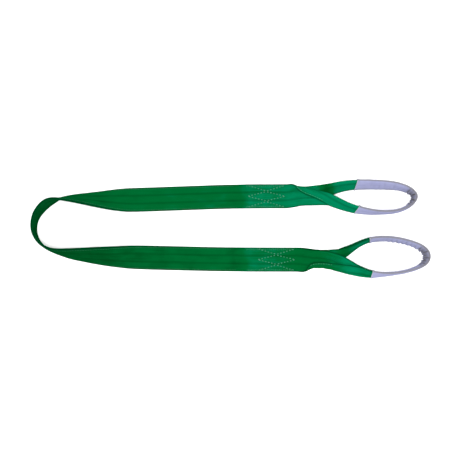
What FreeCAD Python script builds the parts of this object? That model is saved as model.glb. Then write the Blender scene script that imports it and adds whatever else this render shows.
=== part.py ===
import FreeCAD, Part

import math
import os

# Flat web sling with a folded, sleeved eye at each end, laid in a U. The two legs run along X
# and the bight between them stands on edge at the -X end. Z is up, the sling rests on z = 0,
# and the origin is under the middle of its bounding box. Millimetres.

doc = FreeCAD.newDocument("WebSling")
sheet = doc.addObject("Spreadsheet::Sheet", "Sizes")

DIMENSIONS = {
    "webbing_width": 60,
    "ply_thickness": 3,
    "ply_gap": 0.3,          # air between two plies
    "leg_reach": 505,        # from the outside of the bight to the start of the laps
    "leg_half_spacing": 79,  # from the middle of the U to each leg's centre line
    "lap_length_a": 125,     # where the tail of the eye is sewn between the plies
    "lap_length_b": 150,
    "lap_ramp": 22,          # length over which the face ply climbs onto the tail
    "lap_slant_b": 24,       # how far lap B's back ply is cut askew across its width
    "eye_length": 325,       # from the lap's end to the outside of the eye's tip
    "tip_overhang": 7,       # how far the leaning sleeve reaches past the eye's length
    "eye_half_height": 50,   # the eye's routes are drawn in this unit across the leg
    "sleeve_wall": 1.2,
    "sleeve_clearance": 0.3,
    "joint_gap": 0.5,        # air where two bodies of the jointed model meet
    "seam_width": 1.6,
    "seam_height": 0.5,
    "seam_inset": 4,         # from the webbing's edge to a seam's middle
    "seam_lift": 0.05,       # air under a line of stitches
    "stitch_reach": 47,      # half the length of a lap's stitched pattern
    "stitch_setback": 51,    # from the lap's end to the middle of its pattern
    "felled_seam_width": 4,  # the sleeve's own long seam
    "felled_seam_height": 0.8,
}

for row, (alias, value) in enumerate(DIMENSIONS.items(), start=1):
    sheet.set(f"A{row}", alias)
    sheet.set(f"B{row}", str(value))
    sheet.setAlias(f"B{row}", alias)
doc.recompute()


def size(alias):
    return float(sheet.get(alias))


level = size("ply_thickness") + size("ply_gap")
stack = size("ply_thickness") + level
sleeve_margin = size("sleeve_wall") + size("sleeve_clearance")
longest_lap = max(size("lap_length_a"), size("lap_length_b"))
bight_x = -(size("leg_reach") + longest_lap + size("eye_length") + size("tip_overhang")) / 2
lap_x = bight_x + size("leg_reach")
lap_end_x = {"a": lap_x + size("lap_length_a"), "b": lap_x + size("lap_length_b")}
sling_top = 2 * level + size("ply_thickness")
up = FreeCAD.Vector(0, 0, 1)

# The U from leg A's lap round the bight to leg B's lap. Each station of the turned stretch is the
# distance from the outside of the bight, the place across in leg half spacings, and the roll in
# degrees: 0 lies flat, 90 stands on the outer edge.
TURNED = [
    (245, 0.90, 4),
    (212, 0.90, 25),
    (170, 0.91, 48),
    (132, 0.935, 63),
    (98, 0.955, 75),
    (66, 0.945, 87),
    (50, 0.89, 98),
    (36, 0.80, 102),
    (22.5, 0.64, 101),
    (11.5, 0.45, 97),
    (5, 0.23, 92),
    (3.6, 0.03, 90),
    (6, -0.17, 87),
    (14, -0.38, 84),
    (26, -0.54, 83),
    (41, -0.65, 83),
    (62, -0.73, 78),
    (92, -0.79, 66),
    (125, -0.825, 57),
    (155, -0.85, 47),
    (185, -0.875, 38),
    (215, -0.89, 28),
    (250, -0.905, 12),
]
HINGE_A = 8   # the stations of TURNED where each leg is jointed to the bight
HINGE_B = 14
LAP_ACROSS = {"a": 1.02, "b": -0.98}  # the lap's centre line, in leg half spacings
LEG_ACROSS = {"a": 0.96, "b": -0.945}  # the same half-way along the flat stretch

# The eyes, from the end of the face ply out along the lower branch, round the tip and back under
# to the tail. Each station is the share of the eye's length, the place across in eye half
# heights, roll, fold (1 is folded lengthwise in half) and height in plies above the floor.
EYES = {
    "a": [
        (0.000, 0.00, 0, 0.00, 2.00),
        (0.050, 0.00, 0, 0.15, 2.00),
        (0.120, -0.02, 0, 0.50, 2.00),
        (0.200, -0.06, 0, 0.65, 2.00),
        (0.280, -0.11, 4, 0.85, 2.20),
        (0.345, -0.21, 22, 1.00, 2.50),
        (0.395, -0.35, 38, 1.00, 2.00),
        (0.450, -0.50, 49, 1.00, 0.90),
        (0.530, -0.66, 58, 1.00, 0.10),
        (0.615, -0.77, 67, 1.00, 0.00),
        (0.705, -0.81, 78, 1.00, 0.00),
        (0.790, -0.79, 82, 1.00, 0.00),
        (0.860, -0.72, 84, 1.00, 0.00),
        (0.922, -0.55, 88, 1.00, 0.00),
        (0.963, -0.30, 95, 1.00, 0.00),
        (0.981, 0.00, 101, 1.00, 0.00),
        (0.953, 0.22, 106, 1.00, 0.00),
        (0.912, 0.37, 112, 1.00, 0.00),
        (0.855, 0.48, 119, 1.00, 0.00),
        (0.785, 0.54, 126, 1.00, 0.00),
        (0.690, 0.57, 132, 1.00, 0.00),
        (0.585, 0.58, 135, 1.00, 0.00),
        (0.490, 0.56, 140, 1.00, 0.00),
        (0.415, 0.485, 147, 1.00, 0.00),
        (0.350, 0.375, 163, 1.00, 0.00),
        (0.290, 0.26, 177, 0.85, 0.00),
        (0.215, 0.14, 180, 0.65, 0.10),
        (0.140, 0.04, 180, 0.50, 0.30),
        (0.060, 0.00, 180, 0.15, 0.75),
        (0.000, 0.00, 180, 0.00, 1.00),
    ],
    "b": [
        (0.000, 0.00, 0, 0.00, 2.00),
        (0.050, 0.00, 0, 0.10, 2.00),
        (0.105, 0.03, 0, 0.45, 2.00),
        (0.165, 0.03, 0, 0.50, 2.00),
        (0.225, 0.00, 0, 0.52, 2.10),
        (0.285, -0.09, 3, 0.55, 2.40),
        (0.340, -0.22, 8, 0.65, 2.50),
        (0.390, -0.36, 15, 0.78, 2.00),
        (0.440, -0.50, 26, 0.90, 0.90),
        (0.495, -0.62, 38, 1.00, 0.20),
        (0.563, -0.72, 56, 1.00, 0.00),
        (0.630, -0.74, 70, 1.00, 0.00),
        (0.708, -0.71, 80, 1.00, 0.00),
        (0.794, -0.64, 85, 1.00, 0.00),
        (0.870, -0.52, 87, 1.00, 0.00),
        (0.938, -0.35, 91, 1.00, 0.00),
        (0.981, -0.13, 100, 1.00, 0.00),
        (0.997, 0.14, 107, 1.00, 0.00),
        (0.981, 0.44, 109, 1.00, 0.00),
        (0.937, 0.66, 108, 1.00, 0.00),
        (0.870, 0.84, 106, 1.00, 0.00),
        (0.800, 0.96, 105, 1.00, 0.00),
        (0.723, 1.04, 106, 1.00, 0.00),
        (0.640, 1.06, 106, 1.00, 0.00),
        (0.570, 1.01, 108, 1.00, 0.00),
        (0.508, 0.88, 111, 1.00, 0.00),
        (0.447, 0.67, 117, 1.00, 0.00),
        (0.392, 0.45, 134, 1.00, 0.00),
        (0.335, 0.27, 158, 0.97, 0.00),
        (0.280, 0.17, 178, 0.85, 0.00),
        (0.215, 0.10, 180, 0.70, 0.10),
        (0.145, 0.06, 180, 0.50, 0.30),
        (0.090, 0.03, 180, 0.20, 0.80),
        (0.052, 0.00, 180, 0.00, 1.00),
        (0.000, 0.00, 180, 0.00, 1.00),
    ],
}
# Where the sleeve starts on the lower branch and ends on the upper one, counted in stations.
SLEEVE_SPAN = {"a": (8.0, 21.64), "b": (10.1, 24.3)}
SLEEVE_FADE = 2.0  # stations over which the webbing settles from the sleeve to the floor
THROAT_SEAM_SPAN = {"a": (0.6, 3.0), "b": (2.0, 5.0)}
THROAT_SEAM_PLACE = {"a": 0.3, "b": -0.2}  # share of the half width

# A lap's stitches: lines between points given in shares of the pattern's reach and the half width.
LOAD_SEAM = [
    ((-0.98, 0.90), (0.0, 0.44)), ((0.0, 0.44), (0.98, 0.90)),
    ((-1.0, 0.0), (0.0, 0.38)), ((0.0, 0.38), (1.0, 0.0)),
    ((1.0, 0.0), (0.0, -0.38)), ((0.0, -0.38), (-1.0, 0.0)),
    ((-0.98, -0.90), (0.0, -0.44)), ((0.0, -0.44), (0.98, -0.90)),
]


def blend(first, second, share):
    return [(1 - share) * p + share * q for p, q in zip(first, second)]


def smooth_route(stations, steps=2):
    """Samples of the quadratic B-spline that the stations control, each with its unit direction
    in plan and its place counted in stations."""
    samples = []
    last = len(stations) - 1
    for i in range(1, last):
        start = stations[0] if i == 1 else blend(stations[i - 1], stations[i], 0.5)
        end = stations[last] if i == last - 1 else blend(stations[i], stations[i + 1], 0.5)
        from_place = 0 if i == 1 else i - 0.5
        to_place = last if i == last - 1 else i + 0.5
        for k in range(steps + (i == last - 1)):
            share = k / steps
            first, second = blend(start, stations[i], share), blend(stations[i], end, share)
            along = FreeCAD.Vector(second[0] - first[0], second[1] - first[1], 0).normalize()
            place = from_place + share * (to_place - from_place)
            samples.append((blend(first, second, share), along, place))
    return samples


class Section:
    """Where a strip is cut across: its middle, its directions and how far it is folded."""

    def __init__(self, middle, along, roll, fold=0.0, place=0.0):
        level_across = up.cross(along)
        self.across = level_across * math.cos(roll) + up * math.sin(roll)
        self.outward = along.cross(self.across)
        self.along, self.middle, self.fold, self.place = along, middle, fold, place

    def moved(self, across=0.0, outward=0.0, along=0.0):
        copy = Section.__new__(Section)
        copy.__dict__.update(self.__dict__)
        copy.middle = (self.middle + self.across * across + self.outward * outward
                       + self.along * along)
        return copy

    @property
    def half_width(self):
        return size("webbing_width") * (1 - self.fold / 2) / 2

    @property
    def half_thickness(self):
        return size("ply_thickness") * (1 + self.fold) / 2


def u_sections():
    """The middle of the two-ply stack, from leg A's lap end round to leg B's."""
    half = size("leg_half_spacing")
    flat = {side: [(lap_end_x[side], LAP_ACROSS[side] * half, 0),
                   (lap_x, LAP_ACROSS[side] * half, 0),
                   (lap_x - size("leg_reach") / 4, LEG_ACROSS[side] * half, 0)] for side in "ab"}
    turned = [(bight_x + x, across * half, roll) for x, across, roll in TURNED]
    sections = []
    for (x, y, roll), along, place in smooth_route(flat["a"] + turned + flat["b"][::-1]):
        roll = math.radians(roll)
        z = size("webbing_width") / 2 * math.sin(roll) + stack / 2 * abs(math.cos(roll))
        sections.append(Section(FreeCAD.Vector(x, y, z), along, roll, place=place - 3))
    return sections


def eye_sections(side):
    """The middle of the eye's webbing from the face ply round the loop to the tail."""
    centre = LAP_ACROSS[side] * size("leg_half_spacing")
    low, high = SLEEVE_SPAN[side]
    sections = []
    stations = [(lap_end_x[side] + u * size("eye_length"), centre + v * size("eye_half_height"),
                 *turned) for u, v, *turned in EYES[side]]
    for (x, y, roll, fold, rise), along, place in smooth_route(stations):
        outside = max(low - place, place - high, 0)
        margin = sleeve_margin * max(0, 1 - outside / SLEEVE_FADE)
        roll = math.radians(roll)
        section = Section(FreeCAD.Vector(x, y, 0), along, roll, fold, place)
        section.middle.z = (rise * level
                            + (section.half_width + margin) * abs(math.sin(roll))
                            + (section.half_thickness + margin) * abs(math.cos(roll)))
        sections.append(section)
    return sections


def strip(name, sections, width="Sizes.webbing_width", thickness="Sizes.ply_thickness"):
    """A ruled loft of rectangles across the sections. width and thickness are expressions, and
    {fold} in one stands for the section's fold."""
    profiles = []
    for number, section in enumerate(sections):
        profile = doc.addObject("Part::Plane", f"{name}_section_{number}")
        profile.setExpression("Length", width.replace("{fold}", f"{section.fold:.4f}"))
        profile.setExpression("Width", thickness.replace("{fold}", f"{section.fold:.4f}"))
        doc.recompute([profile])
        turn = FreeCAD.Rotation(section.across, section.outward, section.along, "XYZ")
        corner = turn.multVec(FreeCAD.Vector(-profile.Length.Value / 2,
                                             -profile.Width.Value / 2, 0))
        profile.Placement = FreeCAD.Placement(section.middle + corner, turn)
        profiles.append(profile)
    loft = doc.addObject("Part::Loft", name)
    loft.Sections, loft.Solid, loft.Ruled = profiles, True, True
    return loft


def pad(name, outline, bottom):
    """A PartDesign body: a ply cut to the outline, its underside at the height bottom, which is
    an expression."""
    body = doc.addObject("PartDesign::Body", name)
    sketch = body.newObject("Sketcher::SketchObject", f"{name}_outline")
    plane = next(f for f in body.Origin.OriginFeatures if f.Role == "XY_Plane")
    sketch.AttachmentSupport, sketch.MapMode = [(plane, "")], "FlatFace"
    sketch.setExpression("AttachmentOffset.Base.z", bottom)
    for start, end in zip(outline, outline[1:] + outline[:1]):
        sketch.addGeometry(Part.LineSegment(start, end))
    feature = body.newObject("PartDesign::Pad", f"{name}_pad")
    feature.Profile = sketch
    feature.setExpression("Length", "Sizes.ply_thickness")
    body.Tip = feature
    return body


def edges_of(sections):
    """The outline in plan of a flat strip through the sections."""
    half = size("webbing_width") / 2
    left = [s.middle + s.across * half for s in sections]
    right = [s.middle - s.across * half for s in sections]
    return [FreeCAD.Vector(p.x, p.y, 0) for p in left + right[::-1]]


def group(kind, name, members):
    joined = doc.addObject(kind, name)
    setattr(joined, "Links" if kind == "Part::Compound" else "Shapes", members)
    return joined


def ply_seams(name, sections):
    """A line of stitches along each edge of the face ply."""
    surface = level / 2 + size("ply_thickness") / 2 + size("seam_lift") + size("seam_height") / 2
    inset = size("webbing_width") / 2 - size("seam_inset")
    lines = [strip(f"{name}_{edge}", [s.moved(sign * inset, surface) for s in sections],
                   "Sizes.seam_width", "Sizes.seam_height")
             for edge, sign in (("inner", 1), ("outer", -1))]
    return group("Part::Compound", name, lines)


def load_seam(name, side):
    """The stitches that lock the tail between the plies, as thread bars on the face ply."""
    half_width = size("webbing_width") / 2
    centre = FreeCAD.Vector(lap_end_x[side] - size("stitch_setback"),
                            LAP_ACROSS[side] * size("leg_half_spacing"),
                            sling_top + size("seam_lift"))
    bars = []
    for number, ends in enumerate(LOAD_SEAM):
        start, end = (centre + FreeCAD.Vector(u * size("stitch_reach"), v * half_width, 0)
                      for u, v in ends)
        bar = doc.addObject("Part::Box", f"{name}_line_{number}")
        bar.Length = (end - start).Length + size("seam_width")
        bar.setExpression("Width", "Sizes.seam_width")
        bar.setExpression("Height", "Sizes.seam_height")
        turn = FreeCAD.Rotation(FreeCAD.Vector(1, 0, 0), end - start)
        back = turn.multVec(FreeCAD.Vector(size("seam_width") / 2, size("seam_width") / 2, 0))
        bar.Placement = FreeCAD.Placement(start - back, turn)
        bars.append(bar)
    return group("Part::MultiFuse", name, bars)


FOLDED_WIDTH = "Sizes.webbing_width * (1 - {fold} / 2)"
FOLDED_THICKNESS = "Sizes.ply_thickness * (1 + {fold})"
SLEEVE_BORE = " + 2 * Sizes.sleeve_clearance"
SLEEVE_OUTSIDE = " + 2 * (Sizes.sleeve_clearance + Sizes.sleeve_wall)"


def build_bight_and_legs():
    sections = u_sections()
    face, back = level / 2, -level / 2
    gap = size("joint_gap") / 2
    spans = {
        "leg_a": [s for s in sections if s.place <= HINGE_A],
        "bight": [s for s in sections if HINGE_A <= s.place <= HINGE_B],
        "leg_b": [s for s in sections if s.place >= HINGE_B],
    }
    parts = []
    for name, span in spans.items():
        if name != "leg_a":
            span[0] = span[0].moved(along=gap)
        if name != "leg_b":
            span[-1] = span[-1].moved(along=-gap)
        if name == "bight":
            parts += [strip("bight_webbing", [s.moved(outward=face) for s in span]),
                      strip("bight_back_ply", [s.moved(outward=back) for s in span]),
                      ply_seams("bight_ply_seams", span)]
        else:
            parts += build_leg(name, name[-1], span)
    return parts


def build_leg(name, side, span):
    """A leg: its face ply climbs over the tail in the lap, its back ply lies flat on the floor
    as far as the twist, and both turn on edge towards the bight."""
    order = 1 if side == "a" else -1
    span = span[::order]
    ramp_start = lap_x
    ramp_end = lap_x + size("lap_ramp")
    flat = [s for s in span if s.across.z == 0]
    turned = [s for s in span if s not in flat[:-1]]
    end, before = flat[0], next(s for s in flat if s.middle.x <= ramp_start)
    heading = (end.middle - before.middle).normalize()

    def at(x):
        return Section(before.middle + heading * ((x - before.middle.x) / heading.x),
                       FreeCAD.Vector(-order, 0, 0), 0)

    lap = [at(x) for x in (end.middle.x, ramp_end, ramp_start)]
    climbed = [lap[0].moved(outward=level), lap[1].moved(outward=level), lap[2]]
    rest_of_leg = span[span.index(before) + 1:]
    face = [s.moved(outward=level / 2) for s in climbed + rest_of_leg]
    webbing = strip(f"{name}_webbing", face[::order])
    outline = edges_of([lap[0]] + flat[flat.index(before):])
    if side == "b":
        skew = FreeCAD.Vector(size("lap_slant_b") / 2, 0, 0)
        outline[0], outline[-1] = outline[0] - skew, outline[-1] + skew
    flat_ply = pad(f"{name}_back_flat", outline, "0 * Sizes.ply_thickness")
    turned_ply = strip(f"{name}_back_turned",
                       [s.moved(outward=-level / 2) for s in turned][::order])
    back_ply = group("Part::MultiFuse", f"{name}_back_ply", [flat_ply, turned_ply])
    tail = pad(f"{name}_tail", edges_of(lap[:2]), "Sizes.ply_thickness + Sizes.ply_gap")
    seams = ply_seams(f"{name}_ply_seams", ([lap[2]] + rest_of_leg)[::order])
    return [webbing, back_ply, tail, load_seam(f"{name}_load_seam", side), seams]


def build_eye(side):
    name = f"eye_{side}"
    sections = eye_sections(side)
    sections[0] = sections[0].moved(along=size("joint_gap"))
    sections[-1] = sections[-1].moved(along=-size("joint_gap"))
    webbing = strip(f"{name}_webbing", sections, FOLDED_WIDTH, FOLDED_THICKNESS)

    low, high = SLEEVE_SPAN[side]
    covered = [s for s in sections if low <= s.place <= high]
    outside = strip(f"{name}_sleeve_outside", covered,
                    FOLDED_WIDTH + SLEEVE_OUTSIDE, FOLDED_THICKNESS + SLEEVE_OUTSIDE)
    past_end = 2 * size("joint_gap")  # the bore runs out past both cut ends
    through = ([covered[0].moved(along=-past_end)] + covered[1:-1]
               + [covered[-1].moved(along=past_end)])
    bore = strip(f"{name}_sleeve_bore", through,
                 FOLDED_WIDTH + SLEEVE_BORE, FOLDED_THICKNESS + SLEEVE_BORE)
    sleeve = doc.addObject("Part::Cut", f"{name}_sleeve")
    sleeve.Base, sleeve.Tool = outside, bore

    across = covered[0].half_width + sleeve_margin - size("felled_seam_width")
    outward = (covered[0].half_thickness + sleeve_margin + size("seam_lift")
               + size("felled_seam_height") / 2)
    sleeve_seam = strip(f"{name}_sleeve_seam",
                        [s.moved(-across, -outward) for s in covered[1:-1]],
                        "Sizes.felled_seam_width", "Sizes.felled_seam_height")

    first, last = THROAT_SEAM_SPAN[side]
    throat = [s for s in sections if first <= s.place <= last]
    raised = [s.moved(THROAT_SEAM_PLACE[side] * s.half_width,
                      s.half_thickness + size("seam_lift") + size("seam_height") / 2)
              for s in throat]
    throat_seam = strip(f"{name}_throat_seam", raised, "Sizes.seam_width", "Sizes.seam_height")
    return [webbing, sleeve, sleeve_seam, throat_seam]


parts = build_bight_and_legs() + build_eye("a") + build_eye("b")
for part in parts:
    part.Label = part.Name
doc.recompute()

for item in doc.Objects:
    if "Invalid" in item.State or "Error" in item.State:
        raise RuntimeError(f"{item.Label} failed to compute: {item.State}")
for part in parts:
    if part.Shape.isNull() or not part.Shape.isValid() or part.Shape.Volume <= 0:
        raise RuntimeError(f"{part.Label} has no valid shape")

os.makedirs("parts", exist_ok=True)
for part in parts:
    part.Shape.exportStep(os.path.join("parts", f"{part.Label}.step"))
    box = part.Shape.BoundBox
    print(f"{part.Label:22s} solids {len(part.Shape.Solids)} volume {part.Shape.Volume:9.0f}"
          f" x {box.XMin:7.1f} {box.XMax:7.1f} y {box.YMin:7.1f} {box.YMax:7.1f}"
          f" z {box.ZMin:6.2f} {box.ZMax:6.2f}")
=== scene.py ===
import math

import bpy
import numpy as np
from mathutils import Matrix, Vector, noise


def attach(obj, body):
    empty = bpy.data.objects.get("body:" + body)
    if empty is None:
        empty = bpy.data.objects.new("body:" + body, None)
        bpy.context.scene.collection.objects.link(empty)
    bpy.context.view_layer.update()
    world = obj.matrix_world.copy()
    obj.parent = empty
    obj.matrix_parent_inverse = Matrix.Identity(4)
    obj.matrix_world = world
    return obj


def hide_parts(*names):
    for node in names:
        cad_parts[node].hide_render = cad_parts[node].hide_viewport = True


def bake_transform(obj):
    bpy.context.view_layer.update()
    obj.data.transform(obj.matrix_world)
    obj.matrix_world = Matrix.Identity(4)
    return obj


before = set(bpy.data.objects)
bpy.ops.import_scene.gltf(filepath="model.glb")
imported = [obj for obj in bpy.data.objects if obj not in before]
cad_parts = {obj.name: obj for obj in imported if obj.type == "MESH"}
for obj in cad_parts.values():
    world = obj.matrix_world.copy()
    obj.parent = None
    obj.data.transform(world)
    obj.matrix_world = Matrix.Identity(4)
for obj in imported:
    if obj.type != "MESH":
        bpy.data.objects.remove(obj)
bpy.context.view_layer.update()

# Flat web sling laid in a U. Lengths are in millimetres unless a note says metres.
mm = 0.001
up = np.array([0.0, 0.0, 1.0])
sides = ("a", "b")

layout = {
    "webWidth": 60.0,
    "plyThickness": 3.0,
    "level": 3.3,             # from one ply to the next
    "bightX": -493.5,         # outside of the bight
    "lapX": 11.5,             # start of both laps
    "lapEndX": {"a": 136.5, "b": 161.5},
    "lapRamp": 22.0,          # the face ply climbs onto the tail over this length
    "straightLeg": 127,
    "halfSpacing": 79.0,
    "lapAcross": {"a": 1.02, "b": -0.98},
    "legAcross": {"a": 0.96, "b": -0.945},
    "backSlant": {"a": 0.0, "b": 24.0},   # how far the back ply's lap end is cut askew
    "eyeLength": 325.0,
    "eyeHalfHeight": 50.0,
    "apexPlace": 11.0,        # station of the turn where the two halves of the bight meet
    "floorGap": 0.05,
}

# distance from the outside of the bight, place across in half spacings, roll in degrees
turned = [
    (245, 0.90, 4), (212, 0.90, 25), (170, 0.91, 48), (132, 0.935, 63), (98, 0.955, 75), (66, 0.945, 87),
    (50, 0.89, 98), (36, 0.80, 102), (22.5, 0.64, 101), (11.5, 0.45, 97), (5, 0.23, 92), (3.6, 0.03, 90),
    (6, -0.17, 87), (14, -0.38, 84), (26, -0.54, 83), (41, -0.65, 83), (62, -0.73, 78), (92, -0.79, 66),
    (125, -0.825, 57), (155, -0.85, 47), (185, -0.875, 38), (215, -0.89, 28), (250, -0.905, 12),
]

# share of the eye's length, place across in eye half heights, roll, fold (1 is folded in half),
# height in plies
eyeStations = {
    "a": [
        (0.000, 0.00, 0, 0.00, 2.00), (0.050, 0.00, 0, 0.15, 2.00), (0.120, -0.02, 0, 0.50, 2.00),
        (0.200, -0.06, 0, 0.65, 2.00), (0.280, -0.11, 4, 0.85, 2.20), (0.345, -0.21, 22, 1.00, 2.50),
        (0.395, -0.35, 38, 1.00, 2.00), (0.450, -0.50, 49, 1.00, 0.90), (0.530, -0.66, 58, 1.00, 0.10),
        (0.615, -0.77, 67, 1.00, 0.00), (0.705, -0.81, 78, 1.00, 0.00), (0.790, -0.79, 82, 1.00, 0.00),
        (0.860, -0.72, 84, 1.00, 0.00), (0.922, -0.55, 88, 1.00, 0.00), (0.963, -0.30, 95, 1.00, 0.00),
        (0.981, 0.00, 101, 1.00, 0.00), (0.953, 0.22, 106, 1.00, 0.00), (0.912, 0.37, 112, 1.00, 0.00),
        (0.855, 0.48, 119, 1.00, 0.00), (0.785, 0.54, 126, 1.00, 0.00), (0.690, 0.57, 132, 1.00, 0.00),
        (0.585, 0.58, 135, 1.00, 0.00), (0.490, 0.56, 140, 1.00, 0.00), (0.415, 0.485, 147, 1.00, 0.00),
        (0.350, 0.375, 163, 1.00, 0.00), (0.290, 0.26, 177, 0.85, 0.00), (0.215, 0.14, 180, 0.65, 0.10),
        (0.140, 0.04, 180, 0.50, 0.30), (0.060, 0.00, 180, 0.15, 0.75), (0.000, 0.00, 180, 0.00, 1.00),
    ],
    "b": [
        (0.000, 0.00, 0, 0.00, 2.00), (0.050, 0.00, 0, 0.10, 2.00), (0.105, 0.03, 0, 0.45, 2.00),
        (0.165, 0.03, 0, 0.50, 2.00), (0.225, 0.00, 0, 0.52, 2.10), (0.285, -0.09, 3, 0.55, 2.40),
        (0.340, -0.22, 8, 0.65, 2.50), (0.390, -0.36, 15, 0.78, 2.00), (0.440, -0.50, 26, 0.90, 0.90),
        (0.495, -0.62, 38, 1.00, 0.20), (0.563, -0.72, 56, 1.00, 0.00), (0.630, -0.74, 70, 1.00, 0.00),
        (0.708, -0.71, 80, 1.00, 0.00), (0.794, -0.64, 85, 1.00, 0.00), (0.870, -0.52, 87, 1.00, 0.00),
        (0.938, -0.35, 91, 1.00, 0.00), (0.981, -0.13, 100, 1.00, 0.00), (0.997, 0.14, 107, 1.00, 0.00),
        (0.981, 0.44, 109, 1.00, 0.00), (0.937, 0.66, 108, 1.00, 0.00), (0.870, 0.84, 106, 1.00, 0.00),
        (0.800, 0.96, 105, 1.00, 0.00), (0.723, 1.04, 106, 1.00, 0.00), (0.640, 1.06, 106, 1.00, 0.00),
        (0.570, 1.01, 108, 1.00, 0.00), (0.508, 0.88, 111, 1.00, 0.00), (0.447, 0.67, 117, 1.00, 0.00),
        (0.392, 0.45, 134, 1.00, 0.00), (0.335, 0.27, 158, 0.97, 0.00), (0.280, 0.17, 178, 0.85, 0.00),
        (0.215, 0.10, 180, 0.70, 0.10), (0.145, 0.06, 180, 0.50, 0.30), (0.090, 0.03, 180, 0.20, 0.80),
        (0.052, 0.00, 180, 0.00, 1.00), (0.000, 0.00, 180, 0.00, 1.00),
    ],
}


def eased(share):
    share = np.clip(share, 0, 1)
    return share * share * (3 - 2 * share)


def unit(vectors):
    return vectors / np.linalg.norm(vectors, axis=-1, keepdims=True)


def lengthsAlong(points):
    return np.concatenate([[0], np.cumsum(np.linalg.norm(np.diff(points, axis=0), axis=1))])


def smoothRoute(stations, marks, step):
    # The quadratic spline that the stations control, cut every step and at the marked places.
    # The last column is the place, counted in stations.
    stations = np.array(stations, float)
    last = len(stations) - 1
    rows = []
    for i in range(1, last):
        start = stations[0] if i == 1 else (stations[i - 1] + stations[i]) / 2
        end = stations[last] if i == last - 1 else (stations[i] + stations[i + 1]) / 2
        fromPlace, toPlace = (0 if i == 1 else i - 0.5), (last if i == last - 1 else i + 0.5)
        for t in np.arange(16) / 16:
            first, second = start + (stations[i] - start) * t, stations[i] + (end - stations[i]) * t
            rows.append([*(first + (second - first) * t), fromPlace + t * (toPlace - fromPlace)])
    rows.append([*stations[last], last])
    rows = np.array(rows)
    along = lengthsAlong(rows[:, :2])
    stops = np.interp([0, *marks, last], rows[:, -1], along)
    grid = [np.linspace(a, b, max(2, round((b - a) / step) + 1))[:-1] for a, b in zip(stops, stops[1:])]
    grid = np.concatenate([*grid, [stops[-1]]])
    return np.stack([np.interp(grid, along, column) for column in rows.T], 1)


class Sections:
    # Where a strip is cut across, one row for each cut: its middle, its directions and its fold.
    fields = ("middle", "across", "outward", "roll", "fold", "place")

    def __init__(self, **rows):
        self.__dict__.update(rows)

    @classmethod
    def along(cls, x, y, z, roll, fold, place):
        way = unit(np.gradient(np.stack([x, y], 1), axis=0))
        level = np.stack([-way[:, 1], way[:, 0], 0 * x], 1)
        across = level * np.cos(roll)[:, None] + up * np.sin(roll)[:, None]
        outward = np.cross(np.concatenate([way, 0 * x[:, None]], 1), across)
        middle = np.stack([x, y, z], 1)
        return cls(middle=middle, across=across, outward=outward, roll=roll, fold=fold, place=place)

    def pick(self, index):
        return Sections(**{f: getattr(self, f)[index] for f in self.fields})

    def raised(self, amount):
        moved = self.pick(slice(None))
        moved.middle = self.middle + self.outward * np.asarray(amount).reshape(-1, 1)
        return moved

    def joined(self, other):
        return Sections(**{f: np.concatenate([getattr(self, f), getattr(other, f)]) for f in self.fields})

    @property
    def x(self):
        return self.middle[:, 0]


def uSections(step=3.0):
    # The middle of the two plies, from leg A's lap end round the bight to leg B's.
    half, width = layout["halfSpacing"], layout["webWidth"]
    stack = layout["plyThickness"] + layout["level"]
    flat = {
        s: [
            (layout["lapEndX"][s], layout["lapAcross"][s] * half, 0),
            (layout["lapX"], layout["lapAcross"][s] * half, 0),
            (layout["lapX"] - layout["straightLeg"], layout["legAcross"][s] * half, 0),
        ]
        for s in sides
    }
    bend = [(layout["bightX"] + x, y * half, roll) for x, y, roll in turned]
    lead = len(flat["a"])
    x, y, roll, place = smoothRoute(flat["a"] + bend + flat["b"][::-1], [layout["apexPlace"] + lead], step).T
    roll = np.radians(roll)
    z = width / 2 * np.sin(roll) + stack / 2 * np.abs(np.cos(roll))
    return Sections.along(x, y, z, roll, 0 * x, place - lead)


def legSections(side):
    # One half of the U, from the apex of the bight to the lap's end.
    if side == "a":
        half = wholeU.pick(wholeU.place <= layout["apexPlace"] + 1e-6).pick(slice(None, None, -1))
        half.across = -half.across
        return half
    return wholeU.pick(wholeU.place >= layout["apexPlace"] - 1e-6)


sleeveCut = {
    "span": {"a": (8.0, 21.64), "b": (10.1, 24.3)},  # where each sleeve starts and ends, in stations
    "fade": 2.0,
    "margin": 1.5,      # wall and slack
    "wall": 1.1,
    "points": 96,
    "ribs": 26,         # round the tube
    "ribDepth": 0.16,
    "flare": 0.7,
    "flareLength": 7.0,
    "slant": {"a": (0.16, 0.24), "b": (0.0, 0.0)},   # how far the cut ends lean, per millimetre across
    "slantLength": 30.0,
    "step": 2.2,
}


def eyeSections(side, marks=(), step=3.2):
    # The eye's webbing from the face ply out along the lower branch and back to the tail.
    centre = layout["lapAcross"][side] * layout["halfSpacing"]
    width, thick = layout["webWidth"], layout["plyThickness"]
    stations = [
        (layout["lapEndX"][side] + u * layout["eyeLength"], centre + v * layout["eyeHalfHeight"], *rest)
        for u, v, *rest in eyeStations[side]
    ]
    x, y, roll, fold, rise, place = smoothRoute(stations, marks, step).T
    roll = np.radians(roll)
    low, high = sleeveCut["span"][side]
    outside = np.maximum(np.maximum(low - place, place - high), 0)
    margin = sleeveCut["margin"] * np.maximum(0, 1 - outside / sleeveCut["fade"])
    z = (
        rise * layout["level"]
        + (width * (1 - fold / 2) / 2 + margin) * np.abs(np.sin(roll))
        + (thick * (1 + fold) / 2 + margin) * np.abs(np.cos(roll))
    )
    return Sections.along(x, y, z, roll, fold, place)


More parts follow.
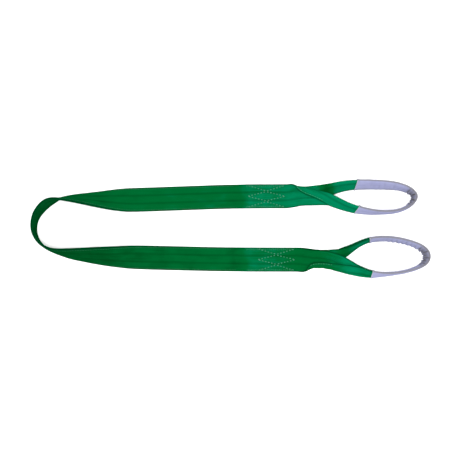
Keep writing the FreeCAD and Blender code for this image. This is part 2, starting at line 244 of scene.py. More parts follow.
def tailSections(side, step=3.2):
    x = np.arange(layout["lapEndX"][side] - step, layout["lapX"] + layout["lapRamp"], -step)
    n = len(x)
    flat = np.full(n, layout["lapAcross"][side] * layout["halfSpacing"])
    height = np.full(n, layout["level"] + layout["plyThickness"] / 2)
    whole = np.ones(n)
    return Sections(
        middle=np.stack([x, flat, height], 1),
        across=np.tile([0.0, 1.0, 0.0], (n, 1)),
        outward=np.tile([0.0, 0.0, -1.0], (n, 1)),
        roll=math.pi * whole, fold=0 * whole, place=1000 * whole,
    )


print("stage: routes")
wholeU = uSections()
lapMiddle = {s: (layout["lapX"] + layout["lapEndX"][s]) / 2 + 8 for s in sides}


class Shade:
    # One socket of a material. Sums on values add Math nodes.
    def __init__(self, board, socket):
        self.board, self.socket = board, socket

    def math(self, operation, *values):
        return self.board.node("ShaderNodeMath", {"operation": operation}, dict(enumerate(values)))

    def output(self, name):
        return Shade(self.board, self.socket.node.outputs[name])

    def __add__(self, other):
        return self.math("ADD", self, other)

    def __sub__(self, other):
        return self.math("SUBTRACT", self, other)

    def __rsub__(self, other):
        return self.math("SUBTRACT", other, self)

    def __mul__(self, other):
        return self.math("MULTIPLY", self, other)

    def __truediv__(self, other):
        return self.math("DIVIDE", self, other)

    def __rtruediv__(self, other):
        return self.math("DIVIDE", other, self)

    def __mod__(self, other):
        return self.math("FLOORED_MODULO", self, other)

    def __rmod__(self, other):
        return self.math("FLOORED_MODULO", other, self)

    def __abs__(self):
        return self.math("ABSOLUTE", self)

    def sine(self):
        return self.math("SINE", self)

    def floor(self):
        return self.math("FLOOR", self)

    def band(self, low, high, start=0.0, end=1.0):
        # start below low, end above high, and eased in between
        return self.board.node(
            "ShaderNodeMapRange", {"interpolation_type": "SMOOTHSTEP", "clamp": True},
            {"Value": self, "From Min": low, "From Max": high, "To Min": start, "To Max": end},
        )

    __radd__ = __add__
    __rmul__ = __mul__


class Board:
    # A material's node board with its shader and output in place.
    def __init__(self, name, **constants):
        self.material = bpy.data.materials.new(name)
        self.material.use_nodes = True
        self.tree = self.material.node_tree
        self.tree.nodes.clear()
        self.shader = self.node("ShaderNodeBsdfPrincipled", {}, constants)
        self.node("ShaderNodeOutputMaterial", {}, {"Surface": self.shader})

    def node(self, kind, settings, inputs):
        made = self.tree.nodes.new(kind)
        for key, value in settings.items():
            setattr(made, key, value)
        for key, value in inputs.items():
            self.feed(made.inputs[key], value)
        return Shade(self, next((o for o in made.outputs if o.enabled), None))

    def feed(self, socket, value):
        if isinstance(value, Shade):
            self.tree.links.new(value.socket, socket)
        else:
            socket.default_value = value

    def mixed(self, amount, first, second):
        return self.node("ShaderNodeMix", {"data_type": "RGBA"}, {0: amount, 6: first, 7: second})

    def parts(self, attribute):
        # the three numbers that a mesh keeps at each point
        kept = self.node("ShaderNodeAttribute", {"attribute_name": attribute}, {}).output("Vector")
        split = self.node("ShaderNodeSeparateXYZ", {}, {"Vector": kept})
        return [split.output(axis) for axis in "XYZ"]

    def joined(self, x, y, z):
        return self.node("ShaderNodeCombineXYZ", {}, {"X": x, "Y": y, "Z": z})

    def speckle(self, x, y, z=0.0, detail=2.0):
        spot = self.joined(x, y, z)
        return self.node("ShaderNodeTexNoise", {}, {"Vector": spot, "Scale": 1.0, "Detail": detail})

    def finish(self, colour, roughness, height, depth):
        bump = self.node("ShaderNodeBump", {}, {"Height": height, "Distance": depth, "Strength": 1.0})
        for socket, value in (("Base Color", colour), ("Roughness", roughness), ("Normal", bump)):
            self.feed(self.shader.socket.node.inputs[socket], value)
        return self.material


def screenColour(red, green, blue, gain=0.5):
    # a screen colour from 0 to 255, darkened for the bright studio
    def linear(value):
        value = value / 255
        return gain * (value / 12.92 if value <= 0.04045 else ((value + 0.055) / 1.055) ** 2.4)
    return (linear(red), linear(green), linear(blue), 1.0)


webFinish = {
    "deep": screenColour(0, 84, 34),      # the legs near the bight, as painted shade on the standing faces; also the weave's dark grain
    "middle": screenColour(0, 112, 52),
    "bright": screenColour(2, 150, 104),   # the sewn laps
    "marker": screenColour(0, 60, 18),    # two dark lines woven along the webbing
    # painted shade along the webbing's edges
    "edge": screenColour(0, 62, 32),
    "ribPitch": 1.5,
    "weftPitch": 1.15,
    "markerPlace": 10.0,
    "markerHalf": 2.6,
    "markerBlend": 0.32,
    "edgeShade": (26.8, 28.6),   # painted shade: the webbing darkens towards its edges over this
    "edgeShadeBlend": 0.75,
    "streaks": 0.5,
    "clouds": 0.6,
    "roughness": 0.8,
}


def webbingMaterial():
    # Strip coordinates in millimetres: x along the webbing, y across it from its middle.
    board = Board("greenWebbing", IOR=1.0)
    along, across, _ = board.parts("strip")
    toneAndShade, _, _ = board.parts("tone")
    rib = across / webFinish["ribPitch"]
    ribHeight = abs((rib * math.pi).sine())
    everyOther = rib.floor() % 2.0 * 0.5
    weft = ((along / webFinish["weftPitch"] + everyOther) * (2 * math.pi)).sine()
    streak = board.speckle(along * 0.012, across * 0.45, detail=3.0)
    cloud = board.speckle(along * 0.022, across * 0.04)
    fibre = board.speckle(along * 1.2, across * 2.6, detail=3.0)
    # the tone holds painted shade (bight, lap ramps, leg B's throat, under the crossings) as well as the
    # webbing's own tone
    amount = toneAndShade + (streak - 0.5) * webFinish["streaks"] + (cloud - 0.5) * webFinish["clouds"]
    colour = board.mixed(amount.band(0, 0.5), webFinish["deep"], webFinish["middle"])
    colour = board.mixed(amount.band(0.5, 1), colour, webFinish["bright"])
    low, high = webFinish["markerHalf"] * 0.5, webFinish["markerHalf"] * 1.5
    fromLine = abs(abs(across) - webFinish["markerPlace"])
    marker = fromLine.band(low, high, 1.0, 0.0) * webFinish["markerBlend"]
    colour = board.mixed(marker, colour, webFinish["marker"])
    # painted shade darkening the webbing towards its edges
    edgeShade = abs(across).band(*webFinish["edgeShade"]) * webFinish["edgeShadeBlend"]
    colour = board.mixed(edgeShade, colour, webFinish["edge"])
    grain = (fibre - 0.5) * 0.5 + weft * 0.12 + ribHeight * 0.2
    colour = board.mixed((0.42 - grain).band(0, 1, 0.0, 0.5), colour, webFinish["deep"])
    height = ribHeight * 0.6 + weft * ribHeight * 0.35 + fibre * 0.25
    rough = webFinish["roughness"] + (fibre - 0.5) * 0.25
    return board.finish(colour, rough, height, 0.0004)


threadFinish = {
    "light": screenColour(92, 184, 146),
    "dark": screenColour(14, 126, 80),
    "dull": screenColour(4, 96, 56),
    "twist": 0.7,
}


def threadMaterial(name, finish):
    board = Board(name, **{"Specular IOR Level": 0.25})
    along, across, number = board.parts("strip")
    dull, _, _ = board.parts("tone")
    twist = ((along + across) * (2 * math.pi / finish["twist"])).sine()
    fibre = board.speckle(along * 2.0, across * 2.0, number)
    worn = board.speckle(number * 0.61, number * 0.37, detail=0.0)   # each stitch has its own shade
    fade = (fibre * 0.6 + worn * 0.8 + twist * 0.12 - 0.2).band(0, 1)
    colour = board.mixed(fade, finish["dark"], finish["light"])
    colour = board.mixed(dull, colour, finish["dull"])
    return board.finish(colour, 0.55 + fibre * 0.3, twist * 0.6 + fibre * 0.4, 0.00015)


greyThreadFinish = {
    "light": screenColour(176, 178, 200, 0.6),
    "dark": screenColour(128, 130, 150, 0.6),
    "dull": screenColour(128, 130, 150, 0.6),
    "twist": 0.6,
}

sleeveFinish = {
    "face": screenColour(163, 166, 207, 0.60),
    "faceLight": screenColour(173, 176, 215, 0.60),
    "edge": screenColour(146, 144, 150, 0.54),
    # dark grey for painted shade inside the tip and its creases; also the weave's dark threads
    "tip": screenColour(112, 110, 112, 0.55),
    "cut": screenColour(200, 201, 212, 0.6),
    "threads": 1.25,
}


def sleeveMaterial():
    # tone: how grey the cloth is by its edges, painted shade inside the tip's tight bend and in its creases,
    # and how near to a cut end
    board = Board("lavenderSleeve", **{"Specular IOR Level": 0.1})
    along, around, _ = board.parts("strip")
    edge, tip, cut = board.parts("tone")
    pitch = sleeveFinish["threads"]
    warp = abs((around * (math.pi / pitch)).sine())
    everyOther = (around / pitch).floor() % 2.0 * 0.5
    weft = ((along / pitch + everyOther) * (2 * math.pi)).sine()
    fibre = board.speckle(along * 1.5, around * 1.5, detail=3.0)
    streak = board.speckle(along * 0.02, around * 0.35)
    colour = board.mixed(streak.band(0.3, 0.7), sleeveFinish["face"], sleeveFinish["faceLight"])
    colour = board.mixed(edge, colour, sleeveFinish["edge"])
    # painted shade: the tip's dark grey inside the tight bend and in the creases
    colour = board.mixed(tip, colour, sleeveFinish["tip"])
    colour = board.mixed(cut, colour, sleeveFinish["cut"])
    colour = board.mixed((0.5 - warp * 0.3 - fibre * 0.4).band(0, 1, 0.0, 0.35), colour, sleeveFinish["tip"])
    height = warp * 0.5 + weft * 0.3 + fibre * 0.3
    return board.finish(colour, 0.75 + (fibre - 0.5) * 0.2, height, 0.0003)


finishes = {
    "webbing": webbingMaterial(),
    "sewing_thread": threadMaterial("greenThread", threadFinish),
    "sleeve_cloth": sleeveMaterial(),
    "sleeve_thread": threadMaterial("greyThread", greyThreadFinish),
}
print("stage: finishes")


def makeMesh(name, points, faces, strip, tone, slotName, flat=()):
    mesh = bpy.data.meshes.new(name)
    points = np.asarray(points).reshape(-1, 3) * mm
    mesh.from_pydata(points.tolist(), [], faces)
    smooth = np.ones(len(faces), bool)
    smooth[list(flat)] = False
    mesh.polygons.foreach_set("use_smooth", smooth)
    for key, values in (("strip", strip), ("tone", tone)):
        kept = mesh.attributes.new(key, "FLOAT_VECTOR", "POINT")
        kept.data.foreach_set("vector", np.asarray(values, np.float32).ravel())
    mesh.materials.append(finishes[slotName])
    mesh.update()
    if len(flat):
        rim = {tuple(sorted(pair)) for f in flat for pair in zip(faces[f], [*faces[f][1:], faces[f][0]])}
        for edge in mesh.edges:
            edge.use_edge_sharp = tuple(sorted(edge.vertices)) in rim
    piece = bpy.data.objects.new(name, mesh)
    bpy.context.scene.collection.objects.link(piece)
    return piece


def ringFaces(rows, around, inward=False, first=0):
    # quads between neighbouring rings, each ring closed on itself
    i = np.arange(rows - 1)[:, None] * around + first
    j = np.arange(around)[None, :]
    k = (j + 1) % around
    quads = np.stack([i + j, i + k, i + around + k, i + around + j], 2).reshape(-1, 4)
    return (quads[:, ::-1] if inward else quads).tolist()


def endFaces(rows, around, inward=False):
    # one face over each end of a row of rings
    first, last = list(range(around)), list(range((rows - 1) * around, rows * around))
    return [first, last[::-1]] if inward else [first[::-1], last]


def turnsInward(rings):
    # whether the first ring's quads would face into the strip
    middle = rings.mean(1)
    before, after = middle[0], middle[1]
    p = rings[0] - before
    area = np.cross(p, np.roll(p, -1, 0)).sum(0)
    return area @ (after - before) < 0


webCut = {
    "points": 61,          # across the webbing, on each side
    "backPoints": 31,
    "endPoints": 3,        # round each edge
    "foldRadius": 1.65,
    "puff": 2.6,           # how far the throat's fold stands open
    "inSleeve": 0.72,      # the webbing's share of its size where the sleeve hides it
    "gather": 0.55,
    "gatherPitch": 8.5,
}


def acrossStrip(fold, puff, points):
    # The strip's middle line across its width, with a flap that turns over on itself, and its normals.
    width, thick = layout["webWidth"], layout["plyThickness"]
    u = np.linspace(thick / 2, width - thick / 2, points)
    shown = width * (1 - fold / 2)
    radius = webCut["foldRadius"] + puff
    turn = min(1.0, width * fold / 2 / (math.pi * radius))
    base = shown - (radius + thick / 2) * turn if fold > 0 else width
    angle = np.clip((u - base) / radius, 0, math.pi)
    beyond = np.maximum(u - base - math.pi * radius, 0)
    flap = max(width - base - math.pi * radius, 1.0)
    a = -shown / 2 + np.minimum(u, base) + radius * np.sin(angle) - beyond
    o = -thick * fold / 2 + radius * (1 - np.cos(angle)) - 2 * puff * eased(beyond / flap)
    return u - width / 2, np.stack([a, o], 1), np.stack([-np.sin(angle), np.cos(angle)], 1)


def stripRings(sections, flapSide, points, pressed=None, slim=None):
    # Rings round a strip of webbing: its outer side, a rounded edge, its inner side, the other edge.
    rings, strips = [], []
    half = layout["plyThickness"] / 2
    along = lengthsAlong(sections.middle)
    ends = np.arange(1, webCut["endPoints"] + 1) * math.pi / (webCut["endPoints"] + 1)
    for i in range(len(along)):
        fold = sections.fold[i]
        puff = webCut["puff"] * (1 - fold) ** 2 * max(0.0, math.cos(sections.roll[i]))
        u, line, normal = acrossStrip(fold, puff if fold > 0 else 0, points)
        gathered = webCut["gather"] * 4 * fold * (1 - fold) * (sections.outward[i][2] > 0.5)
        drift = 1.5 * noise.noise(Vector((along[i] * 0.02, 0.0, float(flapSide))))
        line = line + normal * (gathered * np.sin(2 * math.pi * (u / webCut["gatherPitch"] + drift)))[:, None]
        way = np.stack([normal[:, 1], -normal[:, 0]], 1)
        cap = {}
        for where, sign in ((-1, 1), (0, -1)):
            cap[where] = line[where] + half * (
                np.cos(ends)[:, None] * normal[where] * sign + np.sin(ends)[:, None] * way[where] * sign
            )
        flat = np.concatenate([line + normal * half, cap[-1], (line - normal * half)[::-1], cap[0]])
        spots = np.concatenate([u, np.full(len(ends), u[-1]), u[::-1], np.full(len(ends), u[0])])
        edge = np.full(len(ends), 0.5)
        side = np.concatenate([np.zeros(points), edge, np.ones(points), edge])
        flat[:, 0] *= flapSide
        rings.append(flat)
        strips.append(np.stack([np.full(len(flat), along[i]), spots * flapSide, side], 1))
    rings, strips = np.array(rings), np.array(strips)
    if slim is not None:
        rings *= slim[:, None, None]
    if pressed is not None:
        rings[:, :, 1] -= pressed(sections, rings, strips)
    return rings, strips


def placed(sections, rings, lift=True):
    world = (
        sections.middle[:, None]
        + sections.across[:, None] * rings[:, :, :1]
        + sections.outward[:, None] * rings[:, :, 1:]
    )
    if lift:
        world[:, :, 2] += np.maximum(0, layout["floorGap"] - world[:, :, 2].min(1))[:, None]
    return world


# how light the webbing is at each place along the object: its own tone, lighter on the sewn laps, with
# painted shade in it, darker at the bight's standing faces, at each lap's ramp and on leg B's throat
toneAndShadeByX = {
    "a": (
        [-490, -330, -190, -60, -20, 4, 18, 45, 150, 220, 300],
        [0.20, 0.36, 0.48, 0.52, 0.54, 0.40, 0.46, 0.76, 0.80, 0.84, 0.98],
    ),
    "b": (
        [-490, -330, -190, -60, -20, 4, 18, 45, 120, 160, 200, 240, 300],
        [0.10, 0.12, 0.30, 0.40, 0.44, 0.28, 0.36, 0.68, 0.68, 0.46, 0.42, 0.58, 0.84],
    ),
}

flapSides = {"a": 1, "b": -1}   # which edge of the webbing turns over

# painted shadow: the tail's branch is darkened where the face's branch lies over it: place, spread and depth
paintedShadowUnderCrossing = {"a": (24.7, 0.8, 0.6), "b": (27.6, 0.8, 0.3)}


def stripPiece(name, side, sections, points, pressed=None, slim=None, start=0.0, askew=0.0):
    flapSide = flapSides[side]
    rings, strips = stripRings(sections, flapSide, points, pressed, slim)
    strips[:, :, 0] += start
    world = placed(sections, rings)
    if askew:
        fixed = sections.x[-1] - 3 * askew
        share = np.clip((world[:, :, 0] - fixed) / (3 * askew), 0, 1)
        fromMiddle = world[:, :, 1] - layout["lapAcross"][side] * layout["halfSpacing"]
        world[:, :, 0] -= share * askew * (fromMiddle / layout["webWidth"])
    # painted shadow on the tail's branch under the crossing, taken off the tone
    spot, spread, depth = paintedShadowUnderCrossing[side]
    pastLap = sections.x > layout["lapEndX"][side]
    shade = depth * np.exp(-(((sections.place - spot) / spread) ** 2)) * pastLap
    toneAndShade = np.interp(world[:, :, 0], *toneAndShadeByX[side]) - shade[:, None]
    tones = np.stack([toneAndShade, strips[:, :, 2], 0 * toneAndShade], 2)
    rows, around = world.shape[:2]
    inward = turnsInward(world)
    faces = ringFaces(rows, around, inward) + endFaces(rows, around, inward)
    piece = makeMesh(name, world, faces, strips, tones, "webbing", flat=(len(faces) - 2, len(faces) - 1))
    return piece, world


# The load stitches run along lines between points in shares of the pattern's reach and the half width.
lapPattern = {
    "lines": [
        ((-0.98, 0.90), (0.0, 0.44)), ((0.0, 0.44), (0.98, 0.90)),
        ((-1.0, 0.0), (0.0, 0.38)), ((0.0, 0.38), (1.0, 0.0)),
        ((1.0, 0.0), (0.0, -0.38)), ((0.0, -0.38), (-1.0, 0.0)),
        ((-0.98, -0.90), (0.0, -0.44)), ((0.0, -0.44), (0.98, -0.90)),
    ],
    "reach": 47.0,            # half the pattern's length
    "setback": 51.0,          # from the lap's end to the pattern's middle
    "rows": (-0.65, 0.65),    # two threads side by side on each line
    "pitch": 7.8,
    "stitch": (4.3, 1.1, 0.95),
    "groove": 0.55,
    "grooveHalf": 2.0,
    "edgeInset": 4.2,
    "barPitch": 5.0,
    "bar": (4.6, 0.9, 0.7),
}


def lapFrame(side):
    halfLength = (layout["lapEndX"][side] - layout["lapX"] - layout["lapRamp"]) / 2
    return layout["lapEndX"][side] - halfLength, layout["lapAcross"][side] * layout["halfSpacing"], halfLength


def lapLines(side):
    centre = layout["lapAcross"][side] * layout["halfSpacing"]
    middle = np.array([layout["lapEndX"][side] - lapPattern["setback"], centre])
    scale = np.array([lapPattern["reach"], layout["webWidth"] / 2])
    return [(np.array(p) * scale + middle, np.array(q) * scale + middle) for p, q in lapPattern["lines"]]


def pressedAt(side):
    # The webbing is drawn in along the stitched lines.
    lines = lapLines(side)

    def depth(sections, rings, strips):
        flat = placed(sections, rings, lift=False)[:, :, :2]
        near = np.full(flat.shape[:2], 1e3)
        for p, q in lines:
            way = q - p
            share = np.clip(((flat - p) @ way) / (way @ way), 0, 1)
            near = np.minimum(near, np.linalg.norm(flat - p - share[..., None] * way, axis=2))
        onFace = (strips[:, :, 2] == 0) & (sections.outward[:, None, 2] > 0.9)
        return lapPattern["groove"] * np.exp(-((near / lapPattern["grooveHalf"]) ** 2)) * onFace

    return depth


def stitchPiece(name, stitches, slotName, dull=0.0):
    # Each stitch is (middle, way, normal, size): a short raised thread that dives in at both ends.
    share = np.array([-1, -0.82, -0.4, 0, 0.4, 0.82, 1])
    girth = np.array([0.35, 0.78, 1, 1.04, 1, 0.78, 0.35])
    turns = np.arange(6) * math.pi / 3
    points, strips, faces = [], [], []
    rows, around = len(share), len(turns)
    count = rows * around
    oneStitch = ringFaces(rows, around) + endFaces(rows, around)
    for number, (middle, way, normal, (long, wide, high)) in enumerate(stitches):
        way = unit(way)
        normal = unit(normal - way * (normal @ way))
        beside = np.cross(normal, way)
        rise = high * (0.30 - 0.55 * share ** 2)
        ring = (
            middle
            + way * (share * long / 2)[:, None, None]
            + beside * (girth[:, None] * np.cos(turns) * wide / 2)[:, :, None]
            + normal * (girth[:, None] * np.sin(turns) * high / 2 + rise[:, None])[:, :, None]
        )
        points.append(ring.reshape(-1, 3))
        lengthwise, roundIt = np.repeat(share * long / 2, around), np.tile(turns * wide / 2, rows)
        strips.append(np.stack([lengthwise, roundIt, np.full(count, number + 0.5)], 1))
        faces += [[number * count + corner for corner in face] for face in oneStitch]
    points = np.concatenate(points)
    if turnsInward(points[:count].reshape(rows, around, 3)):
        faces = [face[::-1] for face in faces]
    tones = np.tile([dull, 0.0, 0.0], (len(points), 1))
    return makeMesh(name, points, faces, np.concatenate(strips), tones, slotName)


def stitchesAlong(line, normals, pitch, size, start=0.0, sway=0.15):
    along = lengthsAlong(line)
    spots = np.arange(start + pitch / 2, along[-1] - pitch / 2, pitch)
    middles = np.stack([np.interp(spots, along, c) for c in line.T], 1)
    ahead = np.stack([np.interp(spots + 0.5, along, c) for c in line.T], 1)
    outs = np.stack([np.interp(spots, along, c) for c in normals.T], 1)
    made = []
    for i, (m, w, n) in enumerate(zip(middles, ahead - middles, outs)):
        beside = np.cross(n, unit(w))
        off = noise.noise(Vector(m) * 0.31) * sway
        made.append((m + beside * off, w + beside * off * 0.4, n, size))
    return made


edgeSeam = {"inset": 4.0, "pitch": 6.2, "stitch": (4.4, 0.9, 0.6)}


def bendAtBight(piece):
    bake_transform(piece)


def bendAtEye(piece):
    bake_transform(piece)


eyeStrips = {}
for side in sides:
    name = side.upper()
    leg = legSections(side)
    climb = layout["level"] * eased((leg.x - layout["lapX"]) / layout["lapRamp"])
    face = leg.raised(layout["level"] / 2 + climb)
    eye = eyeSections(side)
    loop = face.joined(eye.pick(slice(1, None))).joined(tailSections(side))
    inLap = (loop.x <= lapMiddle[side]) & (np.arange(len(loop.x)) < len(face.x))
    cut = int(inLap.sum())
    sleeveLow, sleeveHigh = sleeveCut["span"][side]
    total = lengthsAlong(loop.middle)

    web, _ = stripPiece(f"web{name}", side, loop.pick(slice(0, cut)), webCut["points"], pressedAt(side))
    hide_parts(f"leg_{side}_webbing", "bight_webbing")
    bendAtBight(web)

    # It's drawn in where the sleeve hides it.
    around = loop.pick(slice(cut - 1, None))
    onEye = (np.arange(len(loop.x)) >= len(face.x) - 1)[cut - 1:]
    hidden = eased(np.minimum(around.place - sleeveLow, sleeveHigh - around.place) / 0.8) * onEye
    slim = 1 - (1 - webCut["inSleeve"]) * hidden
    eyeWeb, eyeWorld = stripPiece(
        f"eyeWeb{name}", side, around, webCut["points"], pressedAt(side), slim, start=total[cut - 1]
    )
    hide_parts(f"eye_{side}_webbing", f"leg_{side}_tail")
    bendAtEye(eyeWeb)
    eyeStrips[side] = (around, eyeWorld)

    back = leg.raised(-layout["level"] / 2)
    backPly, _ = stripPiece(f"back{name}", side, back, webCut["backPoints"], askew=layout["backSlant"][side])
    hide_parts(f"leg_{side}_back_ply", "bight_back_ply")
    bendAtBight(backPly)

    # Two rows of stitches hold the plies together along their edges.
    seams = []
    upToLap = face.pick(face.x <= layout["lapX"])
    for sign in (1, -1):
        line = upToLap.middle + upToLap.across * sign * (layout["webWidth"] / 2 - edgeSeam["inset"])
        line = line + upToLap.outward * layout["plyThickness"] / 2
        seams += stitchesAlong(line, upToLap.outward, edgeSeam["pitch"], edgeSeam["stitch"])
    plySeam = stitchPiece(f"plySeam{name}", seams, "sewing_thread", dull=0.6)
    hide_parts(f"leg_{side}_ply_seams", "bight_ply_seams")
    bendAtBight(plySeam)
print("stage: webbing")

throatSeam = {"span": {"a": (0.9, 4.2), "b": (1.8, 5.2)}, "in": 3, "pitch": 6.4, "stitch": (4.2, 1.3, 1.0)}

for side in sides:
    name = side.upper()
    middleX, middleY, halfLength = lapFrame(side)
    top = 2 * layout["level"] + layout["plyThickness"]
    bars = []
    for p, q in lapLines(side):
        way = unit(q - p)
        beside = np.array([-way[1], way[0]])
        for row in lapPattern["rows"]:
            line = np.array([[*(p + beside * row), top], [*(q + beside * row), top]])
            line[:, 2] -= lapPattern["groove"] * 0.8
            upward = np.tile(up, (2, 1))
            bars += stitchesAlong(line, upward, lapPattern["pitch"], lapPattern["stitch"], sway=0.2)
    # Short bars stand across the lap's two edges.
    inset = layout["webWidth"] / 2 - lapPattern["edgeInset"]
    for sign in (1, -1):
        for x in np.arange(middleX - halfLength + 4, middleX + halfLength - 6, lapPattern["barPitch"]):
            lean = 0.35 if int(x / lapPattern["barPitch"]) % 2 else -0.35
            spot = np.array([x, middleY + sign * inset, top])
            bars.append((spot, np.array([lean, 1.0, 0.0]), up, lapPattern["bar"]))
    seam = stitchPiece(f"loadSeam{name}", bars, "sewing_thread")
    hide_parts(f"leg_{side}_load_seam")
    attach(seam, f"leg_{side}")

    # A row of stitches holds the flap's free edge in the throat.
    around, world = eyeStrips[side]
    first, last = throatSeam["span"][side]
    picked = (around.place >= first) & (around.place <= last) & (around.x > layout["lapEndX"][side])
    picked &= (around.roll < 0.5) & (around.outward[:, 2] > 0.5)
    # counted from the flap's edge, on the side of it that shows
    spot = webCut["points"] + webCut["endPoints"] + throatSeam["in"]
    line = world[picked, spot]
    shown = unit(np.cross(world[picked, spot + 1] - world[picked, spot - 1], np.gradient(line, axis=0)))
    shown *= np.sign(shown[:, 2:])
    stitches = stitchesAlong(line, shown, throatSeam["pitch"], throatSeam["stitch"])
    throat = stitchPiece(f"throatSeam{name}", stitches, "sewing_thread")
    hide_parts(f"eye_{side}_throat_seam")
    bendAtEye(throat)
print("stage: stitches")

wrinkles = {
    "tip": 2.4,          # how deep the folds are inside the tip
    "tipPitch": 8.5,
    "scallop": {"a": 0.35, "b": 1.25},   # along the inner edge of the upper branch
    "scallopPitch": 12.5,
    "uneven": 0.35,
    "tightFrom": 0.010,  # folds start at this bend, in radians for each millimetre
    "tightOver": 0.016,
    "fadeIn": (8, 25),   # the scallops start this far past the tip, over this length
    "fadeOut": 30,
}

hemCut = {
    "inset": 4.0,
    "rise": (0.15, 0.55, 0.7, 0.62, 0.7, 0.55, 0.15),   # over the sleeve's face, across the hem
    "sunk": 0.4,
    "pitch": 4.2,
    "stitch": (3.0, 0.7, 0.5),
}


def sleeveRings(side):
    low, high = sleeveCut["span"][side]
    eye = eyeSections(side, marks=(low, high), step=sleeveCut["step"])
    eye = eye.pick((eye.place >= low - 1e-6) & (eye.place <= high + 1e-6))
    along = lengthsAlong(eye.middle)
    fromEnd = np.minimum(along, along[-1] - along)
    way = unit(np.gradient(eye.middle[:, :2], axis=0))
    heading = np.unwrap(np.arctan2(way[:, 1], way[:, 0]))
    bend = np.abs(np.gradient(heading, along))
    bend = np.convolve(np.pad(bend, 4, mode="edge"), np.ones(9) / 9, "valid")
    tight = eased((bend - wrinkles["tightFrom"]) / wrinkles["tightOver"])
    tip = along[np.argmax(eye.x)]
    gap, length = wrinkles["fadeIn"]
    stop = wrinkles["fadeOut"]
    branch = eased((along - tip - gap) / length) * eased((along[-1] - stop - along) / stop)
    halfWidth = layout["webWidth"] / 4 + sleeveCut["margin"]
    halfThick = layout["plyThickness"] + sleeveCut["margin"]
    theta = np.linspace(0, 2 * math.pi, 721)
    outer, inner, strips, tones = [], [], [], []
    for i, s in enumerate(along):
        nearEnd = 1 - eased(fromEnd[i] / sleeveCut["flareLength"])
        power = 2 / (2.5 + 2.2 * nearEnd)
        wide, thick = halfWidth + 0.2 * nearEnd, halfThick + sleeveCut["flare"] * nearEnd
        shape = np.stack([
            wide * np.sign(np.cos(theta)) * np.abs(np.cos(theta)) ** power,
            thick * np.sign(np.sin(theta)) * np.abs(np.sin(theta)) ** power,
        ], 1)
        round_ = lengthsAlong(shape)
        spots = np.arange(sleeveCut["points"]) / sleeveCut["points"] * round_[-1]
        ring = np.stack([np.interp(spots, round_, c) for c in shape.T], 1)
        tangent = unit(np.roll(ring, -1, 0) - np.roll(ring, 1, 0))
        normal = np.stack([tangent[:, 1], -tangent[:, 0]], 1)
        inside = np.clip(-ring[:, 1] / thick, 0, 1)
        lowEdge = eased(0.5 - 0.5 * ring[:, 0] / wide)
        topEdge = eased((ring[:, 0] / wide - 0.84) / 0.16)
        drift = 2.2 * noise.noise(Vector((s * 0.05, side == "b", 0.3)))
        wave = math.sin(2 * math.pi * s / wrinkles["tipPitch"] + drift)
        slant = np.sin(2 * math.pi * (s + ring[:, 0] * 0.25) / (wrinkles["tipPitch"] * 1.7))
        drift = 1.6 * noise.noise(Vector((s * 0.04, 5.0, 0.1)))
        scallop = math.sin(2 * math.pi * s / wrinkles["scallopPitch"] + drift)
        push = wrinkles["tip"] * tight[i] * inside * (0.25 + 0.6 * wave + 0.4 * slant)
        push += wrinkles["scallop"][side] * branch[i] * inside * (0.3 + 0.7 * lowEdge) * (0.4 + scallop)
        rough = np.array([noise.noise(Vector((s * 0.07, p * 0.09, 3.0))) for p in ring[:, 0] + 40 * inside])
        push += wrinkles["uneven"] * rough
        ribs = sleeveCut["ribDepth"] * np.cos(2 * math.pi * sleeveCut["ribs"] * spots / round_[-1])
        ragged = np.array([noise.noise(Vector((p * 0.6, s, 1.0))) for p in spots]) * 0.9 * (fromEnd[i] < 0.01)
        startLean, endLean = sleeveCut["slant"][side]
        lean = startLean if s < along[-1] / 2 else -endLean
        ragged = ragged + ring[:, 0] * lean * (1 - eased(fromEnd[i] / sleeveCut["slantLength"]))
        wall = sleeveCut["wall"]
        outer.append(np.concatenate([ring + normal * (push + ribs)[:, None], ragged[:, None]], 1))
        inner.append(np.concatenate([ring + normal * (push - wall)[:, None], ragged[:, None]], 1))
        strips.append(np.stack([np.full(len(spots), s), spots, 0 * spots], 1))
        creaseShade = np.clip(-push / 1.5, 0, 1)
        # the second tone is painted shade, deepest inside the tight bend, on the inner side and in the
        # wrinkles' valleys
        tones.append(np.stack([
            np.maximum(topEdge * 0.9, 0.35 * lowEdge * (lowEdge > 0.9)),
            np.clip(tight[i] * (0.32 + 0.36 * inside) + 0.9 * creaseShade, 0, 1),
            np.full(len(spots), 1 - eased(fromEnd[i] / 2.2)),
        ], 1))
    return eye, np.array(outer), np.array(inner), np.array(strips), np.array(tones)


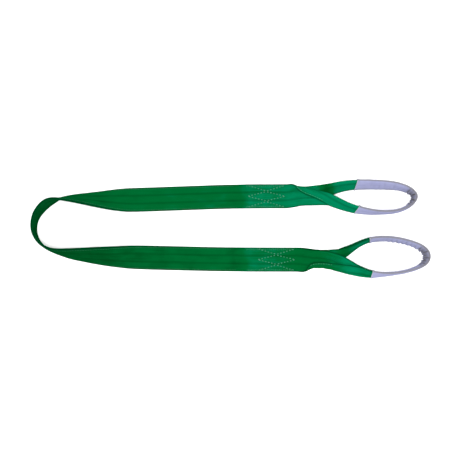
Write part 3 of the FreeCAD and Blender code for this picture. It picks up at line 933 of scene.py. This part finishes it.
for side in sides:
    name = side.upper()
    eye, outer, inner, strips, tones = sleeveRings(side)
    ahead = np.cross(eye.across, eye.outward)
    world = []
    for rings in (outer, inner):
        spots = placed(eye, rings[:, :, :2], lift=False) + ahead[:, None] * rings[:, :, 2:]
        world.append(spots)
    lift = np.maximum(0, layout["floorGap"] - world[0][:, :, 2].min(1))[:, None]
    for spots in world:
        spots[:, :, 2] += lift
    rows, around = world[0].shape[:2]
    inward = turnsInward(world[0])
    count = rows * around
    faces = ringFaces(rows, around, inward) + ringFaces(rows, around, not inward, first=count)
    j = np.arange(around)
    k = (j + 1) % around
    for row, flip in ((0, False), (rows - 1, True)):
        o, n = row * around, count + row * around
        rim = np.stack([o + j, n + j, n + k, o + k], 1)
        faces += (rim[:, ::-1] if flip != inward else rim).tolist()
    sleeve = makeMesh(
        f"sleeve{name}", np.stack(world), faces, np.stack([strips] * 2), np.stack([tones] * 2),
        "sleeve_cloth", flat=range(len(faces) - 2 * around, len(faces)),
    )
    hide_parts(f"eye_{side}_sleeve")
    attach(sleeve, f"eye_{side}")

    # The sleeve's own long seam: a folded hem on the inner face by the lower edge, with its stitches.
    target = np.array([-(layout["webWidth"] / 4 + sleeveCut["margin"] - hemCut["inset"]), -4.5])
    at = int(np.argmin(np.linalg.norm(outer[rows // 2, :, :2] - target, axis=1)))
    columns = [(at + d) % around for d in range(-3, 4)]
    middle = world[0].mean(1, keepdims=True)
    shell = world[0][4:-4]
    out = unit(np.cross(np.gradient(shell, axis=0), np.roll(shell, -1, 1) - np.roll(shell, 1, 1)))
    out *= np.sign(((shell - middle[4:-4]) * out).sum(2, keepdims=True))
    rise = np.array(hemCut["rise"])[None, :, None]
    topSide = shell[:, columns] + out[:, columns] * rise
    under = shell[:, columns[::-1]] - out[:, columns[::-1]] * hemCut["sunk"]
    hem = np.concatenate([topSide, under], 1)
    hem[:, :, 2] = np.maximum(hem[:, :, 2], layout["floorGap"])
    inwardHem = turnsInward(hem)
    hemFaces = ringFaces(*hem.shape[:2], inwardHem) + endFaces(*hem.shape[:2], inwardHem)
    hemStrip = np.zeros(hem.shape)
    hemStrip[:, :, 0] = lengthsAlong(eye.middle)[4:-4, None]
    hemStrip[:, :, 1] = np.arange(hem.shape[1])
    sleeveSeam = makeMesh(
        f"sleeveSeam{name}", hem, hemFaces, hemStrip, np.zeros(hem.shape), "sleeve_thread",
        flat=(len(hemFaces) - 2, len(hemFaces) - 1),
    )
    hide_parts(f"eye_{side}_sleeve_seam")
    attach(sleeveSeam, f"eye_{side}")
    threads = stitchesAlong(topSide[:, 3], out[:, columns[3]], hemCut["pitch"], hemCut["stitch"])
    hemStitches = stitchPiece(f"hemStitches{name}", threads, "sleeve_thread")
    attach(hemStitches, f"eye_{side}")
print("stage: sleeves")

# places and sizes are in metres
studio = {
    "cameraHeight": 2.5,
    "cameraAt": (-0.005, -0.0035),
    "lens": 78.26,        # millimetres
    "floor": 12.0,
    "floorFinish": {"Base Color": (0.93, 0.93, 0.93, 1.0), "Roughness": 0.9},
    "world": 1.3,
    "keyPower": 62.0,     # watts
    "keyAt": (-0.05, -0.08, 2.6),
    "keySize": 0.8,
}

scene = bpy.context.scene
scene.view_settings.view_transform = "Standard"
cameraData = bpy.data.cameras.new("camera")
cameraData.lens = studio["lens"]
cameraData.sensor_width = 36.0
cameraData.clip_end = 50.0
camera = bpy.data.objects.new("camera", cameraData)
camera.location = (*studio["cameraAt"], studio["cameraHeight"])
scene.collection.objects.link(camera)
scene.camera = camera

world = bpy.data.worlds.new("studio")
world.use_nodes = True
background = world.node_tree.nodes["Background"]
background.inputs["Color"].default_value = (1.0, 1.0, 1.0, 1.0)
background.inputs["Strength"].default_value = studio["world"]
scene.world = world

keyData = bpy.data.lights.new("key", "AREA")
keyData.energy = studio["keyPower"]
keyData.size = studio["keySize"]
key = bpy.data.objects.new("key", keyData)
key.location = studio["keyAt"]
key.rotation_mode = "QUATERNION"
key.rotation_quaternion = (Vector((0.0, 0.0, 0.0)) - Vector(studio["keyAt"])).to_track_quat("-Z", "Y")
scene.collection.objects.link(key)

half = studio["floor"] / 2
floorMesh = bpy.data.meshes.new("floor")
corners = [(-half, -half, 0), (half, -half, 0), (half, half, 0), (-half, half, 0)]
floorMesh.from_pydata(corners, [], [(0, 1, 2, 3)])
floorMesh.materials.append(Board("paleFloor", **studio["floorFinish"]).material)
floor = bpy.data.objects.new("floor", floorMesh)
scene.collection.objects.link(floor)
print("stage: studio")
